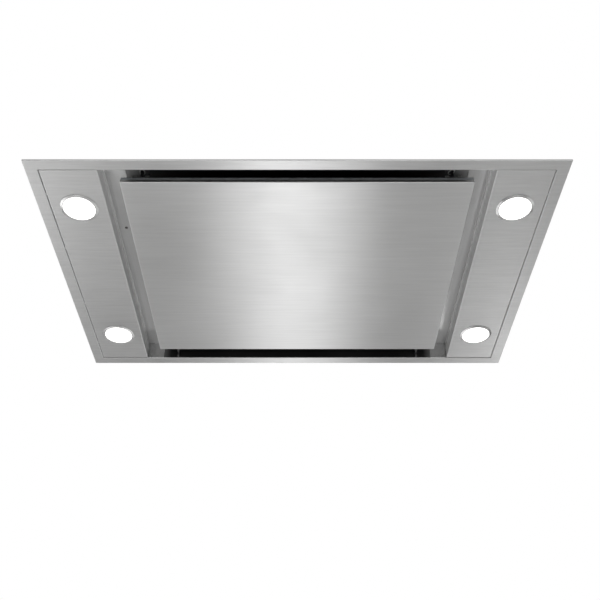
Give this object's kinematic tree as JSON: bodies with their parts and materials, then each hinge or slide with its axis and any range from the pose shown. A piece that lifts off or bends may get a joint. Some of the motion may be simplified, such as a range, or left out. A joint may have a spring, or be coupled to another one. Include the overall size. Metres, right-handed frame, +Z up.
{
  "type": "ceiling range hood",
  "caption": "Flush ceiling range hood with a drop-down centre panel, air gap round its edge, lit side panels and a round duct outlet.",
  "frame": {"origin": "middle of the ceiling opening in the plane of the ceiling, where the lip of the trim frame meets it", "axes": "+X along the long side, +Y away from the cook towards the duct outlet, +Z up into the ceiling void"},
  "size_m": [0.9, 0.6232, 0.3108],
  "materials": {
    "stainless": "brushed along the long side",
    "stainless_door": "brushed along the long side, satin",
    "stainless_tray": "plain satin",
    "black_paint": "matt powder coat",
    "spring_steel": "bright",
    "filter_aluminium": "satin",
    "filter_mesh": "expanded mesh",
    "galvanised": "galvanised with spangle",
    "zinc_plated": "zinc plated",
    "dark_steel": "phosphated dark grey",
    "bezel_chrome": "satin chrome",
    "lit_lens": "frosted, lit from behind",
    "cast_aluminium": "cast",
    "dark_lens": "dark tinted",
    "white_plastic": "moulded",
    "grey_plastic": "moulded",
    "black_plastic": "moulded",
    "black_rubber": "matt"
  },
  "bodies": {
    "hood": {"trim_frame": "stainless", "lamp_panel_left": "stainless", "lamp_panel_right": "stainless", "side_tray_left": "stainless_tray", "side_tray_right": "stainless_tray", "liner": "black_paint", "filter_guides": "black_paint", "filter_pocket": "black_paint", "filter_springs_left": "spring_steel", "filter_springs_right": "spring_steel", "hinge_brackets": "dark_steel", "hinge_pins": "zinc_plated", "catch_plates": "dark_steel", "catch_clips": "spring_steel", "lamp_bezels": "bezel_chrome", "lamp_lenses": "lit_lens", "lamp_housings": "cast_aluminium", "lamp_clips": "spring_steel", "receiver": "dark_lens", "led_driver": "white_plastic", "casing_wrap": "galvanised", "casing_lid": "galvanised", "hanger_near_left": "zinc_plated", "hanger_near_right": "zinc_plated", "hanger_far_left": "zinc_plated", "hanger_far_right": "zinc_plated", "scroll_base": "grey_plastic", "scroll_cover": "grey_plastic", "inlet_cone": "black_plastic", "inlet_guard": "spring_steel", "motor_body": "cast_aluminium", "rubber_mounts": "black_rubber", "blower_brackets": "zinc_plated", "capacitor": "white_plastic", "outlet_adapter": "grey_plastic", "duct_collar": "black_plastic", "flap_pin": "zinc_plated", "control_box": "white_plastic", "control_cover": "white_plastic", "cable_gland": "black_plastic", "lid_screws": "zinc_plated", "collar_screws": "zinc_plated"},
    "door": {"door_skin": "stainless_door", "door_back": "galvanised", "door_stiffeners": "galvanised", "hinge_arms": "zinc_plated", "stud_brackets": "zinc_plated", "catch_studs": "zinc_plated"},
    "left_filter": {"filter_frame_left": "filter_aluminium", "filter_mesh_left": "filter_mesh", "filter_handle_left": "spring_steel"},
    "right_filter": {"filter_frame_right": "filter_aluminium", "filter_mesh_right": "filter_mesh", "filter_handle_right": "spring_steel"},
    "wheel": {"impeller": "black_plastic", "motor_shaft": "zinc_plated"},
    "left_flap": {"flap_left": "grey_plastic"},
    "right_flap": {"flap_right": "grey_plastic"}
  },
  "joints": [
    {"name": "door_hinge", "type": "hinge", "parent": "hood", "child": "door", "pos_m": [0, 0.258, 0.013], "axis": [1, 0, 0], "range_deg": [0, 90]},
    {"name": "left_filter_slide", "type": "slide", "parent": "hood", "child": "left_filter", "axis": [0, 1, 0], "range_m": [0, 0.008], "stiffness_N_per_m": 400, "springref_m": -0.01, "deforming": ["filter_springs_left"]},
    {"name": "right_filter_slide", "type": "slide", "parent": "hood", "child": "right_filter", "axis": [0, 1, 0], "range_m": [0, 0.008], "stiffness_N_per_m": 400, "springref_m": -0.01, "deforming": ["filter_springs_right"]},
    {"name": "wheel_spin", "type": "hinge", "parent": "hood", "child": "wheel", "pos_m": [-0.09, 0.02, 0.178], "axis": [0, 0, 1], "continuous": true},
    {"name": "left_flap_hinge", "type": "hinge", "parent": "hood", "child": "left_flap", "pos_m": [0, 0.2952, 0.178], "axis": [0, 0, -1], "range_deg": [0, 75], "stiffness_Nm_per_rad": 0.02, "springref_deg": -17.19},
    {"name": "right_flap_hinge", "type": "hinge", "parent": "hood", "child": "right_flap", "pos_m": [0, 0.2952, 0.178], "axis": [0, 0, 1], "range_deg": [0, 75], "stiffness_Nm_per_rad": 0.02, "springref_deg": -17.19}
  ]
}
